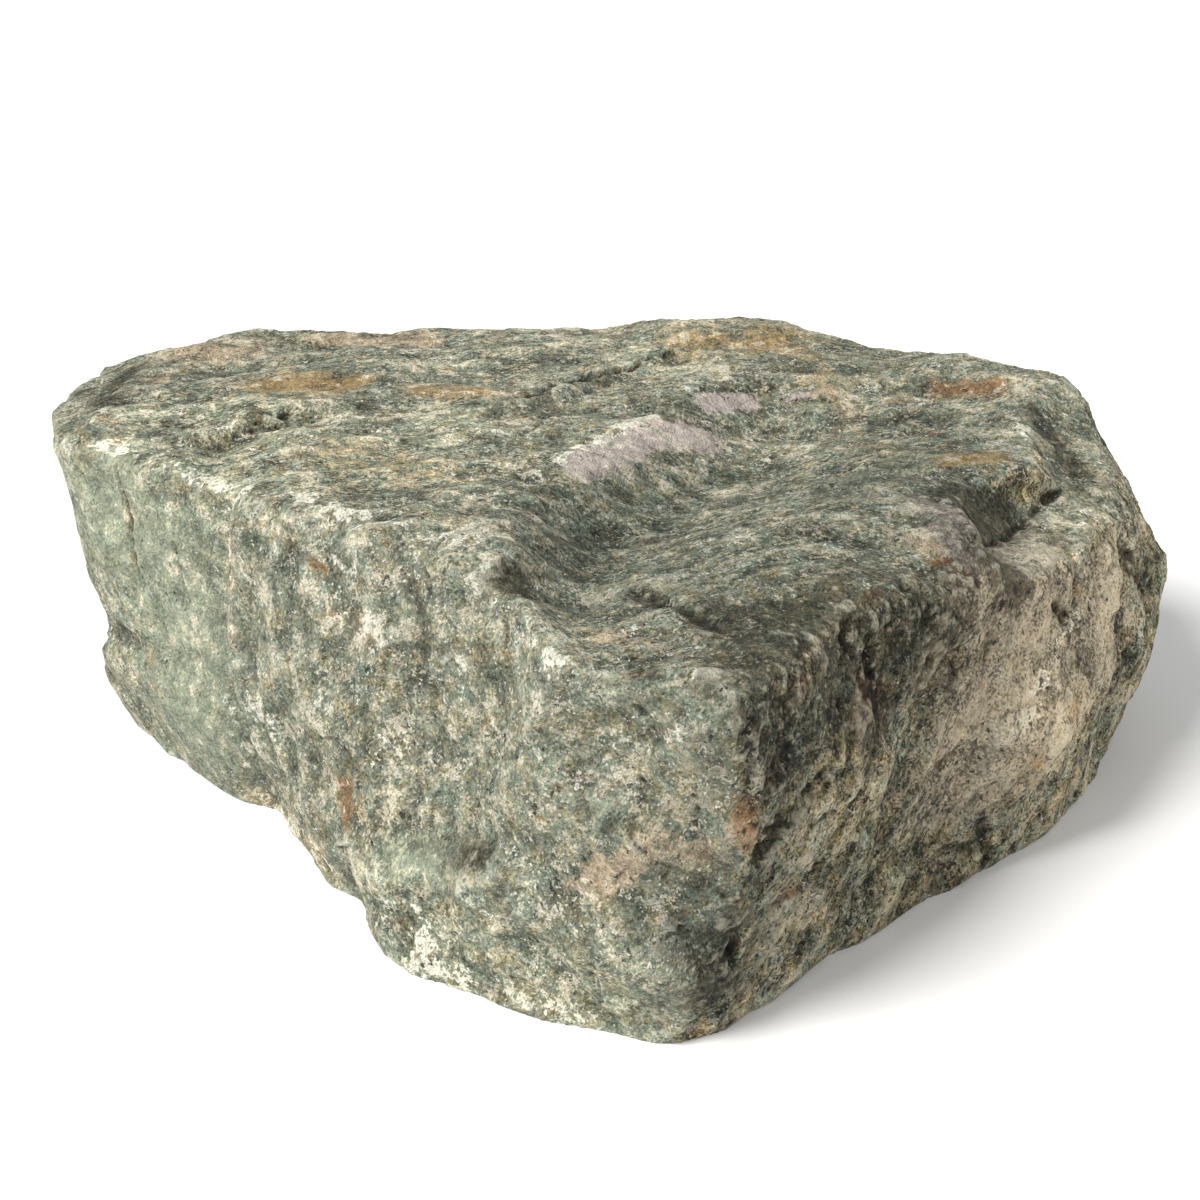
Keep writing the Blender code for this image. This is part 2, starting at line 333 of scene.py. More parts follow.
# ----------------------------------------------------------------------
# Flat chips broke away all over, each at its own slant, when the block was struck off and later
# as it rolled.
# ----------------------------------------------------------------------
CHIPS = {
    # name: (lengths along the layers, up them and across them in mm, slant, the most taken in mm)
    "large": ((26, 30, 15), 0.09, 0.6),
    "small": ((9, 10, 6), 0.10, 0.22),
}
CHIP_DRAW = 7
LAYERS = np.array((ALONG_LAYERS, UP_LAYERS, ACROSS_LAYERS))
luck = np.random.default_rng(CHIP_DRAW)
for lengths, slant, most in CHIPS.values():
    at = places()
    faces_to = evened(facing(), 6)
    faces_to /= np.linalg.norm(faces_to, axis=1)[:, None]
    laid = at @ LAYERS.T / np.array(lengths)
    low_corner, high_corner = laid.min(axis=0) - 1, laid.max(axis=0) + 1
    sides = [np.arange(low, high) for low, high in zip(low_corner, high_corner)]
    middles = np.stack(np.meshgrid(*sides, indexing="ij"), -1).reshape(-1, 3)
    middles += luck.uniform(-0.5, 0.5, middles.shape)
    tilts = luck.normal(0, slant, middles.shape)
    tree_of_middles = kdtree.KDTree(len(middles))
    for index, middle in enumerate(middles):
        tree_of_middles.insert(middle, index)
    tree_of_middles.balance()
    nearest = np.array([tree_of_middles.find(place)[1] for place in laid])
    off_middle = (laid - middles[nearest]) * np.array(lengths)
    taken = np.clip(np.sum(off_middle * tilts[nearest], axis=1), -most, most)
    put_places(at + (taken * chipped)[:, None] * faces_to)

# ----------------------------------------------------------------------
# Cracks, grooves, pits, rims and small ridges, each where the stone has it. They opened along
# the layers and the joints, or stand where harder quartz held.
# ----------------------------------------------------------------------
LINES = {
    # name: (width in mm, height in mm, below zero for a furrow, points in steps across and down the view)
    # left end
    "left_long_crack": (0.7, -1.9, [(113, 466), (121, 494), (129, 521), (129, 543), (132, 561), (136, 579)]),
    "left_short_crack": (0.8, -1.3, [(172, 543), (175, 561), (182, 589), (187, 601)]),
    "foot_shadow": (2.6, -1.0, [(108, 622), (124, 636), (150, 650), (190, 656), (232, 655)]),
    "foot_lip": (3.0, 0.6, [(110, 634), (130, 650), (152, 662), (190, 668), (230, 667)]),
    "front_ridge": (3.0, 0.6, [(245, 490), (237, 500), (236, 530), (230, 573), (234, 637), (230, 700),
                               (250, 760), (290, 830)]),
    "left_rim_line": (2.2, 0.5, [(83, 435), (110, 402), (141, 371)]),
    # top, left part
    "left_ledge_back": (1.8, -2.1, [(254, 421), (270, 417), (288, 413)]),
    "left_ledge_front": (1.6, -1.6, [(236, 433), (262, 429), (290, 427)]),
    "long_crack_left": (1.6, -2.2, [(509, 396), (543, 390), (557, 381), (589, 376)]),
    "long_crack_right": (1.0, -1.5, [(589, 376), (608, 373), (632, 368), (650, 355), (669, 355)]),
    "thin_crack": (0.8, -1.5, [(514, 435), (530, 428), (578, 413), (592, 410), (616, 408), (640, 405)]),
    # crest, valley and nose
    "crest_line": (1.8, 0.8, [(701, 385), (669, 409), (621, 430), (567, 456), (519, 481), (490, 508)]),
    "nose_lip_back": (3.0, 0.7, [(498, 557), (484, 574), (468, 591)]),
    "nose_lip": (1.8, 0.5, [(519, 594), (527, 626), (551, 656)]),
    "nose_pocket": (5.0, -1.2, [(508, 576), (520, 588)]),
    "nose_groove": (2.0, -1.6, [(637, 597), (661, 602), (688, 613), (709, 621), (723, 629)]),
    "nose_groove_lip": (2.6, 0.6, [(630, 612), (660, 618), (690, 630), (712, 640)]),
    "nose_rim": (2.4, 0.5, [(560, 640), (602, 640), (648, 643), (690, 655)]),
    # top, right part
    "right_peak": (4.0, 0.9, [(884, 408), (896, 402), (911, 399)]),
    "right_peak_shadow": (2.4, -1.4, [(876, 422), (896, 418), (914, 414)]),
    "lens_outline": (1.6, -0.8, [(820, 500), (850, 476), (885, 458), (920, 450)]),
    "mauve_swell": (9.0, 1.8, [(930, 512), (950, 540), (962, 560)]),
    "notch_wall": (2.2, -1.2, [(938, 500), (956, 522), (972, 544)]),
    "notch_channel": (1.8, -2.0, [(977, 545), (997, 540), (1012, 534), (1027, 518), (1050, 498), (1062, 491)]),
    "mauve_edge": (2.4, 0.7, [(933, 498), (951, 509), (964, 524), (972, 535), (977, 547)]),
    "scarp_rim": (2.2, 0.7, [(1004, 404), (1018, 424), (1032, 446), (1046, 470), (1054, 486)]),
    "scarp_foot": (3.4, -0.9, [(1040, 418), (1056, 440), (1070, 462), (1078, 480)]),
    "bench_ridge": (2.6, 0.8, [(1062, 491), (1088, 495), (1100, 507), (1109, 520), (1119, 528)]),
    "bench_shadow": (2.0, -1.6, [(1098, 498), (1110, 510), (1122, 522), (1132, 532)]),
    # chipped corner
    "corner_ridge": (1.6, 1.0, [(695, 674), (718, 674), (731, 697), (739, 724), (755, 745), (756, 786)]),
    "chip_groove": (1.2, -1.1, [(637, 711), (649, 721), (663, 739)]),
    "chip_hole": (1.6, -1.5, [(650, 735), (656, 741)]),
    "chip_arc": (2.0, 0.4, [(668, 740), (687, 728), (708, 726)]),
    "chip_hollow": (6.0, -0.8, [(640, 690), (660, 700), (680, 705)]),
    "corner_nick": (0.8, -1.2, [(642, 781), (653, 794)]),
    "corner_nick_low": (0.8, -1.2, [(695, 797), (698, 810)]),
    "corner_crack": (0.8, -1.2, [(695, 823), (715, 867), (718, 888), (726, 904)]),
    "corner_crack_branch": (0.8, -0.9, [(645, 854), (668, 870), (695, 878), (715, 888)]),
    "corner_crack_low": (0.8, -1.0, [(616, 883), (634, 862)]),
    "low_crack": (0.8, -1.2, [(590, 977), (600, 1001)]),
    # front
    "front_scratch": (0.7, -0.9, [(309, 558), (328, 570)]),
    "front_nick": (0.7, -1.0, [(501, 748), (501, 764)]),
    "front_spot_a": (1.6, -1.4, [(556, 789), (560, 793)]),
    "front_spot_b": (1.0, -1.1, [(475, 801), (477, 807)]),
    "front_spot_c": (1.0, -1.1, [(463, 778), (465, 784)]),
    "front_low_hollow": (6.0, -1.2, [(458, 858), (485, 856)]),
    "front_soft_ridge": (6.0, 0.8, [(385, 880), (440, 872), (500, 862), (560, 870)]),
    "front_low_step": (4.0, -0.5, [(400, 838), (450, 842), (500, 838), (556, 846)]),
    # right face, upper part
    "upper_crack": (0.9, -1.4, [(853, 589), (880, 610), (888, 627)]),
    "upper_brown_ridge": (1.8, 0.6, [(931, 564), (949, 564), (968, 583)]),
    "upper_pit_a": (2.0, -1.6, [(864, 608), (862, 624)]),
    "upper_pit_b": (1.8, -1.8, [(848, 617), (846, 630)]),
    "upper_pit_c": (1.7, -1.7, [(842, 640), (852, 654)]),
    "upper_pit_d": (1.7, -1.7, [(870, 639), (868, 653)]),
    "upper_pit_e": (1.5, -1.5, [(897, 636), (895, 648)]),
    "upper_pit_f": (1.7, -1.7, [(930, 646), (927, 662)]),
    "upper_pit_g": (1.7, -1.5, [(951, 638), (951, 660), (956, 672)]),
    "upper_pit_h": (1.5, -1.4, [(992, 648), (990, 660)]),
    "upper_pit_i": (1.7, -1.7, [(838, 696), (841, 708)]),
    "upper_pit_j": (1.8, -1.7, [(806, 640), (800, 656)]),
    "upper_pit_k": (1.8, -1.7, [(906, 590), (902, 606)]),
    "upper_pit_l": (1.7, -1.5, [(930, 606), (926, 622)]),
    "upper_red_hollow": (5.0, -1.8, [(866, 674), (877, 706)]),
    "upper_long_hollow": (7.0, -1.3, [(775, 690), (800, 740)]),
    # right face, lower part
    "low_pit_a": (2.2, -2.7, [(775, 835), (791, 826)]),
    "low_pit_b": (3.0, -2.9, [(758, 856), (775, 845)]),
    "low_pit_c": (2.4, -2.4, [(737, 936), (735, 966)]),
    "low_pit_d": (1.8, -1.9, [(827, 790), (843, 775)]),
    "low_pit_e": (1.6, -1.6, [(820, 780), (833, 770)]),
    "low_pit_f": (1.6, -1.6, [(801, 797), (815, 787)]),
    "low_pit_g": (1.8, -1.8, [(814, 829), (828, 819)]),
    "low_pit_h": (1.6, -1.6, [(863, 828), (876, 817)]),
    "low_pit_i": (1.6, -1.6, [(782, 819), (794, 811)]),
    "low_seam": (2.0, -1.3, [(770, 912), (830, 862), (900, 800), (960, 752)]),
    "low_seam_front": (1.8, -1.3, [(790, 955), (850, 900), (920, 846), (990, 790)]),
    "low_dark_streak": (2.6, -1.8, [(983, 822), (986, 866)]),
    # right end
    "end_ridge": (3.0, 1.1, [(1084, 514), (1088, 530), (1084, 556)]),
    "end_pit_a": (2.4, -1.6, [(1073, 538), (1073, 553)]),
    "end_pit_b": (2.0, -1.2, [(1054, 528), (1053, 541)]),
    "end_pit_c": (2.2, -1.5, [(1075, 573), (1074, 587)]),
    "end_pit_d": (2.0, -1.3, [(1092, 543), (1092, 556)]),
    "end_pit_e": (2.2, -2.1, [(1059, 606), (1067, 619), (1074, 606)]),
    "end_pit_f": (2.8, -1.9, [(1130, 654), (1129, 669)]),
    "end_hollow": (6.0, -2.6, [(1128, 556), (1148, 590)]),
    "light_rib": (5.0, 0.8, [(1046, 560), (1030, 640), (1000, 730)]),
}
RAGGED = 0.75               # how much a line wanders, as a share of its width
THINNED = 0.6               # how much its depth comes and goes, as a share
LINE_TURNS = 3.0            # mm between its turns
DIRT_AND_SHADE_DEPTH = 2.5           # mm, the depth at which a furrow is fully darkened, with dirt and painted shade


def seen_place(across, down):
    """The place on the rock, in mm, where a sight line meets it."""
    toward = sight_line(across, down)
    hit, place, _, _ = cad_rock.ray_cast(EYE, toward)
    if not hit:
        passing = EYE + toward * (AIMED_AT - EYE).dot(toward)
        _, place, _, _ = cad_rock.closest_point_on_mesh(passing)
    return np.array(place) / MM


def near_line(points, line, reach):
    low, high = np.min(line, axis=0) - reach, np.max(line, axis=0) + reach
    return np.nonzero(np.all((points > low) & (points < high), axis=1))[0]


def ragged_distance(points, line, width):
    """The distance from a line, which wanders and thins as a break in stone does."""
    away = distance_from(points, line)
    wander = np.array([noise.noise_vector(Vector(point) / LINE_TURNS) for point in points])
    return np.maximum(away + RAGGED * width * wander[:, 0], 0), 1 + THINNED * wander[:, 1]


at = places()
faces_to = evened(facing(), 6)
faces_to /= np.linalg.norm(faces_to, axis=1)[:, None]
# Furrows are darkened by their depth: dirt, and painted shade in them.
furrow_dirt_and_shade = np.zeros(len(at))
for width, height, seen_points in LINES.values():
    line = [seen_place(across, down) for across, down in seen_points]
    close = near_line(at, line, 3 * width)
    away, depth = ragged_distance(at[close], line, width)
    form = depth * np.exp(-(away / width) ** 2)
    at[close] += height * form[:, None] * faces_to[close]
    if height < 0:
        furrow_dirt_and_shade[close] = np.maximum(furrow_dirt_and_shade[close], form * min(1, -height / DIRT_AND_SHADE_DEPTH))
put_places(at)


def fit_to_size():
    """Keep the block to its size, with its base flat."""
    at = places()
    at[:, 2] = np.maximum(at[:, 2], 0)
    for axis in range(3):
        low, high = cad_low[axis] / MM, cad_high[axis] / MM
        at[:, axis] = low + (at[:, axis] - at[:, axis].min()) * (high - low) / np.ptp(at[:, axis])
    put_places(at)


fit_to_size()


# ----------------------------------------------------------------------
# Marks on the surface: veins and crusts of quartz and feldspar, rust and brown stains of iron, bleached
# patches, damp patches that are partly painted shade, dark stains that are partly painted shade and shadow, a
# painted highlight on the crest, and dirt with painted shade in what lies low. They are colour only, and
# nothing stands up.
# ----------------------------------------------------------------------
def proud(rounds):
    """How far each corner stands out of the surface averaged round it, in mm."""
    return np.sum((places() - evened(places(), rounds)) * facing(), axis=1)


MARKS = {
    # name: (kind, reach in mm, strength, points in steps across and down the view)
    "crest_patch": ("pink", 7.5, 1.0, [(582, 464), (612, 454), (650, 436), (690, 432), (704, 438)]),
    "crest_spot": ("pink", 6, 0.95, [(708, 402), (748, 400)]),
    "back_strip": ("pink", 3.5, 0.6, [(790, 398), (824, 392)]),
    "back_left_patch": ("salmon", 8, 1.0, [(190, 352), (242, 351)]),
    "back_strip_left": ("salmon", 7, 1.0, [(328, 339), (422, 339)]),
    "left_spot": ("salmon", 4, 0.8, [(143, 381), (162, 379)]),
    "peak_spot": ("salmon", 4.5, 0.7, [(890, 404), (902, 402)]),
    "mauve_lobe": ("mauve", 9, 0.9, [(938, 508), (950, 535), (962, 572)]),
    "mauve_top": ("pink", 4, 0.45, [(926, 500), (936, 512), (948, 528)]),
    "mauve_warm": ("salmon", 5, 0.7, [(922, 546), (930, 550)]),
    "nose_band": ("salmon", 3.5, 0.7, [(602, 641), (648, 643)]),
    "front_blush": ("salmon", 6, 0.6, [(352, 620), (368, 630)]),
    "corner_blush_a": ("salmon", 5, 0.8, [(650, 850), (692, 852)]),
    "corner_blush_b": ("salmon", 5, 0.9, [(608, 882), (636, 866)]),
    "corner_blush_c": ("salmon", 6, 0.7, [(572, 882), (612, 872)]),
    "ridge_blush": ("salmon", 3, 0.8, [(235, 540), (231, 573), (235, 640)]),
    "ochre_blob": ("ochre", 10, 1.0, [(266, 387), (300, 384), (346, 384)]),
    "ochre_middle": ("ochre", 8, 0.7, [(424, 388), (478, 391)]),
    "back_brown": ("ochre", 14, 0.55, [(684, 345), (760, 340)]),
    "back_brown_right": ("ochre", 9, 0.5, [(780, 338), (890, 344)]),
    "top_olive": ("ochre", 12, 0.45, [(345, 452), (420, 470)]),
    "right_orange": ("rust", 5.5, 0.9, [(936, 388), (992, 388)]),
    "right_orange_small": ("rust", 2.5, 0.8, [(930, 432), (938, 432)]),
    "block_rim_brown": ("ochre", 6, 0.9, [(948, 464), (1000, 457)]),
    "left_crack_rust": ("ochre", 2.0, 0.42, [(121, 494), (129, 521), (130, 543), (134, 570)]),
    "left_end_brown": ("ochre", 3.0, 0.55, [(150, 660), (156, 690)]),
    "left_brown_streak": ("rust", 2.5, 0.6, [(112, 424), (115, 442)]),
    "scratch_rust": ("rust", 1.6, 0.9, [(309, 558), (328, 570)]),
    "front_rust": ("rust", 3.2, 0.9, [(342, 784), (347, 820)]),
    "corner_rust": ("rust", 5, 0.9, [(745, 812), (750, 838)]),
    "low_rust": ("rust", 3, 0.7, [(790, 894), (798, 890)]),
    "upper_rust_a": ("rust", 2.2, 0.9, [(866, 592), (874, 598)]),
    "upper_rust_b": ("rust", 2.2, 0.9, [(931, 564), (949, 564), (968, 583)]),
    "upper_rust_c": ("rust", 2.8, 0.7, [(800, 679), (812, 679)]),
    "upper_rust_d": ("rust", 3, 0.6, [(754, 732), (760, 738)]),
    "red_hollow": ("rust", 5, 0.9, [(864, 680), (874, 708)]),
    "end_rust": ("rust", 1.8, 0.8, [(1079, 584), (1077, 594)]),
    "end_brown": ("ochre", 4, 0.6, [(1082, 690), (1074, 715)]),
    "low_brown": ("ochre", 4, 0.6, [(1040, 760), (1030, 780)]),
    "front_low_ochre": ("ochre", 8, 0.5, [(268, 806), (325, 862)]),
    "rim_flecks": ("pale", 3, 0.36, [(74, 434), (112, 446), (150, 458), (224, 484)]),
    "plateau_rim": ("pale", 3.6, 0.36, [(245, 490), (285, 495), (310, 500), (346, 512), (377, 515),
                                        (400, 530), (450, 537), (480, 540)]),
    "ridge_pale": ("pale", 2.6, 0.34, [(245, 490), (237, 500), (236, 530), (230, 573), (234, 637),
                                       (230, 700), (250, 760), (290, 830)]),
    "left_rim_pale": ("pale", 2, 0.44, [(83, 435), (110, 402), (141, 371)]),
    "lip_pale_a": ("pale", 3, 0.42, [(498, 557), (484, 574), (468, 591)]),
    "lip_pale_b": ("pale", 2.6, 0.36, [(519, 594), (527, 626), (551, 656)]),
    "lip_fleck": ("pale", 2.6, 0.66, [(552, 656), (558, 660)]),
    # Painted highlight: pale along the crest's step where it faces the light.
    "crest_painted_highlight": ("pale", 2.6, 0.44, [(701, 385), (669, 409), (621, 430), (567, 456), (519, 481),
                                       (490, 508)]),
    "corner_white": ("pale", 2.4, 1.0, [(697, 675), (718, 674), (731, 697), (739, 724), (755, 745),
                                        (756, 786)]),
    "chip_white_a": ("pale", 1.8, 0.5, [(620, 741), (646, 745)]),
    "chip_white_b": ("pale", 2.2, 0.72, [(702, 744), (706, 752)]),
    "chip_white_c": ("pale", 2.0, 0.50, [(668, 737), (687, 726), (708, 726)]),
    "front_white_a": ("pale", 3.2, 0.46, [(284, 502), (296, 500)]),
    "front_white_b": ("pale", 3.6, 0.48, [(340, 512), (362, 516)]),
    "front_blush_pale": ("pale", 5, 0.34, [(350, 612), (372, 632)]),
    "front_white_c": ("pale", 2.8, 0.61, [(326, 556), (354, 572)]),
    "front_white_d": ("pale", 2.2, 0.55, [(320, 703), (330, 707)]),
    "front_crust": ("pale", 4.0, 0.66, [(250, 708), (270, 722)]),
    "front_streak": ("pale", 1.6, 0.50, [(460, 664), (460, 704)]),
    "front_white_e": ("pale", 1.8, 0.50, [(492, 728), (497, 733)]),
    "front_white_f": ("pale", 1.8, 0.50, [(403, 754), (410, 758)]),
    "low_cream": ("pale", 6, 0.46, [(392, 915), (430, 958), (474, 986)]),
    "low_white": ("pale", 2.8, 0.66, [(402, 892), (412, 910)]),
    "foot_cream": ("pale", 5, 0.33, [(268, 806), (300, 836), (325, 862)]),
    "low_cream_right": ("pale", 5, 0.33, [(545, 880), (572, 908)]),
    "low_diagonal": ("pale", 3.4, 0.50, [(655, 900), (680, 952)]),
    "low_line": ("pale", 1.4, 0.55, [(647, 964), (668, 967)]),
    "edge_cream": ("pale", 4.0, 0.33, [(500, 998), (560, 1016), (620, 1024)]),
    "upper_white": ("pale", 2.2, 0.61, [(905, 730), (891, 750)]),
    "upper_white_b": ("pale", 1.5, 0.50, [(930, 704), (924, 713)]),
    "upper_white_c": ("pale", 2.2, 0.44, [(900, 702), (906, 706)]),
    "scarp_pale": ("pale", 2.4, 0.44, [(1004, 406), (1014, 420), (1026, 434)]),
    "end_ridge_pale": ("pale", 2.6, 0.44, [(1084, 514), (1088, 530), (1084, 556)]),
    "end_streak": ("pale", 2.2, 0.61, [(1083, 606), (1065, 631), (1058, 648)]),
    "light_streak": ("pale", 3.2, 0.34, [(1042, 652), (1046, 671), (1033, 715), (1019, 729)]),
    "light_area": ("beige", 26, 0.95, [(1010, 590), (1012, 650), (985, 740)]),
    "light_area_low": ("beige", 18, 0.50, [(1040, 560), (1000, 740), (930, 800)]),
    "end_area": ("beige", 24, 0.78, [(1110, 590), (1100, 650), (1085, 700)]),
    "left_top_dark": ("dark", 7, 0.8, [(106, 402), (132, 370)]),
    # Painted shade in the valley hollow, with a damp tint.
    "valley_dark": ("shade", 17, 0.45, [(545, 545), (590, 520), (640, 498)]),
    "valley_wide": ("shade", 28, 0.28, [(560, 570), (620, 540), (690, 480)]),
    "pocket_dark": ("dark", 6, 0.9, [(508, 576), (520, 588)]),
    "groove_dark": ("dark", 3.4, 0.8, [(637, 597), (661, 602), (688, 613), (709, 621), (723, 629)]),
    "groove_spot": ("dark", 3.5, 1.0, [(712, 614), (718, 617)]),
    "chip_dark": ("dark", 3.0, 0.9, [(640, 672), (652, 676)]),
    # Dark stone, and painted shade where the band turns from the light.
    "upper_band_dark_and_shade": ("dark", 26, 0.66, [(770, 640), (850, 655), (930, 650)]),
    "corner_band": ("dark", 16, 0.62, [(752, 720), (790, 760)]),
    "upper_shoulder": ("dark", 16, 0.4, [(760, 620), (860, 590), (940, 600)]),
    # Dark green stone, and the mauve lobe's painted shadow.
    "notch_dark_and_painted_shadow": ("dark", 12, 1.0, [(958, 500), (972, 515), (1000, 515)]),
    "bench_dark": ("dark", 9, 0.8, [(985, 555), (1015, 580)]),
    "scarp_dark": ("dark", 7, 0.8, [(1034, 412), (1056, 440), (1076, 474)]),
    "end_dark": ("dark", 7, 0.5, [(1130, 558), (1148, 588)]),
    "end_dark_b": ("dark", 4, 0.7, [(1128, 660), (1132, 664)]),
    "end_dark_c": ("dark", 8, 0.35, [(1062, 540), (1080, 600)]),
    "lens_dark": ("dark", 10, 0.45, [(835, 492), (905, 462)]),
    # Painted shadow under the right peak.
    "peak_painted_shadow": ("dark", 4.5, 0.8, [(878, 422), (914, 416)]),
    "front_low_dark": ("dark", 5, 0.7, [(458, 858), (485, 858)]),
    "low_streak_dark": ("dark", 3.2, 0.9, [(983, 822), (986, 866)]),
    "low_notch_dark": ("dark", 5, 0.8, [(945, 884), (958, 880)]),
    "low_front_edge": ("dark", 14, 0.60, [(700, 900), (715, 990)]),
    "top_left_bleached": ("bleached", 36, 0.75, [(190, 430), (290, 440), (420, 450)]),
    "left_end_bleached": ("bleached", 40, 0.50, [(110, 520), (170, 640)]),
    "end_bleached": ("bleached", 26, 0.85, [(1120, 580), (1100, 640), (1085, 700)]),
    "low_front_bleached": ("bleached", 26, 0.60, [(400, 900), (480, 970), (600, 1000)]),
    "back_bleached": ("bleached", 22, 0.40, [(420, 360), (600, 352), (700, 350)]),
    "left_clean": ("green", 30, 0.8, [(110, 520), (160, 560), (190, 620), (190, 720)]),
    "low_clean": ("green", 9, 0.7, [(400, 858), (428, 866)]),
    "lens_green": ("green", 11, 0.5, [(835, 492), (905, 462)]),
    "red_dark": ("dark", 9, 1.0, [(864, 680), (874, 708)]),
    "top_right_shade": ("shade", 34, 0.45, [(760, 500), (880, 480), (940, 430)]),
    "top_front_shade": ("shade", 26, 0.25, [(700, 560), (800, 540), (900, 520)]),
    "nose_shade": ("shade", 18, 0.35, [(590, 590), (650, 580), (730, 600)]),
    "low_right_shade": ("shade", 26, 0.45, [(760, 960), (840, 900), (960, 840)]),
    "corner_shade": ("shade", 14, 0.5, [(755, 720), (780, 800), (760, 900)]),
    "low_corner_shade": ("shade", 12, 0.5, [(712, 900), (716, 980)]),
}
KINDS = ["bleached", "mauve", "pink", "salmon", "ochre", "rust", "pale", "beige", "shade", "dark", "green"]


def keep_value(name, values):
    """Keep a value for every corner, for the stone's material to read."""
    layer = rock.data.attributes.new(name, "FLOAT", "POINT")
    layer.data.foreach_set("value", values.astype(np.float32))


# What stands proud is rubbed pale. Broad rises are painted lighter and broad hollows darker, as painted shade,
# and what lies low is darkened with dirt and painted shade.
keep_value("worn", ramp(proud(5), 0.12, 0.6))
keep_value("broad_rise_and_hollow_shade", ramp(proud(60), -1.5, 1.5))
keep_value("low", np.maximum(ramp(-proud(10), 0.2, 1.3), ramp(furrow_dirt_and_shade, 0.15, 0.9)))
keep_value("right_side", right_part)
keep_value("split", np.maximum(top_part, right_part))
at = places()
coats = {kind: np.zeros(len(at)) for kind in KINDS}
for kind, reach, strength, seen_points in MARKS.values():
    line = [seen_place(across, down) for across, down in seen_points]
    close = near_line(at, line, 2 * reach)
    cover = strength * np.exp(-0.9 * (distance_from(at[close], line) / reach) ** 2)
    coats[kind][close] = 1 - (1 - coats[kind][close]) * (1 - np.minimum(cover, 0.999))
for kind, cover in coats.items():
    keep_value(kind, cover)

apply_modifier("DECIMATE", ratio=TRIANGLES / (2 * len(rock.data.polygons)))
fit_to_size()
rock.vertex_groups.clear()
rock.data.polygons.foreach_set("use_smooth", [True] * len(rock.data.polygons))

# ----------------------------------------------------------------------
# The bare stone, dry and matt: chlorite, quartz and feldspar in grains of half a millimetre and
# more, drawn out along the layers where it split through them. Nothing is painted or sealed.
# ----------------------------------------------------------------------
STONE_SHINE = 0.35
schist = bpy.data.materials.new("schist")
schist.use_nodes = True
tree = schist.node_tree
finish = tree.nodes["Principled BSDF"]
finish.inputs["Specular IOR Level"].default_value = STONE_SHINE


def add_node(tree, kind, wires, **settings):
    """A shader node with its settings, and each socket wired to another's or given a value."""
    made = tree.nodes.new("ShaderNode" + kind)
    for setting, value in settings.items():
        setattr(made, setting, value)
    for socket, source in wires.items():
        if isinstance(source, bpy.types.NodeSocket):
            tree.links.new(source, made.inputs[socket])
        else:
            made.inputs[socket].default_value = source
    return made


def sum_of(tree, first, second, operation="ADD"):
    return add_node(tree, "Math", {0: first, 1: second}, operation=operation).outputs[0]


def mixed(tree, share, first, second, blend="MIX"):
    mix = add_node(tree, "Mix", {"Factor": share}, data_type="RGBA", blend_type=blend)
    for socket, source in ((6, first), (7, second)):
        if isinstance(source, bpy.types.NodeSocket):
            tree.links.new(source, mix.inputs[socket])
        else:
            mix.inputs[socket].default_value = source
    return mix.outputs[2]


def new_group(name, inputs, outputs):
    """An empty node group with named inputs (with their values) and outputs."""
    group = bpy.data.node_groups.new(name, "ShaderNodeTree")
    for label, value in inputs.items():
        kind = "NodeSocketVector" if value is None else "NodeSocketFloat"
        socket = group.interface.new_socket(label, in_out="INPUT", socket_type=kind)
        if value is not None:
            socket.default_value = value
    for label in outputs:
        group.interface.new_socket(label, in_out="OUTPUT", socket_type="NodeSocketFloat")
    return group, group.nodes.new("NodeGroupInput"), group.nodes.new("NodeGroupOutput")


# grain: one grade of the stone's speckle, from about -1 to 1
grain_group, given, gives = new_group(
    "grain", {"Vector": None, "Size": 1.0, "Detail": 2.0, "Roughness": 0.68}, ["Grain"])
rate = sum_of(grain_group, 1.0, given.outputs["Size"], "DIVIDE")
cloud = add_node(grain_group, "TexNoise", {"Vector": given.outputs["Vector"], "Scale": rate,
                 "Detail": given.outputs["Detail"], "Roughness": given.outputs["Roughness"]})
centred = sum_of(grain_group, cloud.outputs["Fac"], 0.5, "SUBTRACT")
grain_group.links.new(sum_of(grain_group, centred, 5.0, "MULTIPLY"), gives.inputs["Grain"])

# ragged_mark: a soft mark broken up at its edge by a pattern
mark_group, given, gives = new_group(
    "ragged_mark", {"Cover": 0.0, "Pattern": 0.0, "Ragged": 0.3, "Softness": 0.2}, ["Mask"])
shaken = sum_of(mark_group, given.outputs["Cover"],
                sum_of(mark_group, given.outputs["Pattern"], given.outputs["Ragged"], "MULTIPLY"))
edge = sum_of(mark_group, 0.5, given.outputs["Softness"], "SUBTRACT")
edge_end = sum_of(mark_group, 0.5, given.outputs["Softness"])
mask = add_node(mark_group, "MapRange", {"Value": shaken, "From Min": edge, "From Max": edge_end},
                interpolation_type="SMOOTHSTEP")
mark_group.links.new(mask.outputs["Result"], gives.inputs["Mask"])


def grain(vector, size, detail=2.0, roughness=0.68):
    made = add_node(tree, "Group", {}, node_tree=grain_group)
    tree.links.new(vector, made.inputs["Vector"])
    made.inputs["Size"].default_value = size
    made.inputs["Detail"].default_value = detail
    made.inputs["Roughness"].default_value = roughness
    return made.outputs["Grain"]


def ragged_mark(cover, pattern, ragged, softness):
    made = add_node(tree, "Group", {}, node_tree=mark_group)
    tree.links.new(cover, made.inputs["Cover"])
    tree.links.new(pattern, made.inputs["Pattern"])
    made.inputs["Ragged"].default_value = ragged
    made.inputs["Softness"].default_value = softness
    return made.outputs["Mask"]


def kept(name):
    return add_node(tree, "Attribute", {}, attribute_name=name).outputs["Fac"]


def times(value, factor):
    return sum_of(tree, value, factor, "MULTIPLY")


def plus(*values):
    total = values[0]
    for value in values[1:]:
        total = sum_of(tree, total, value)
    return total


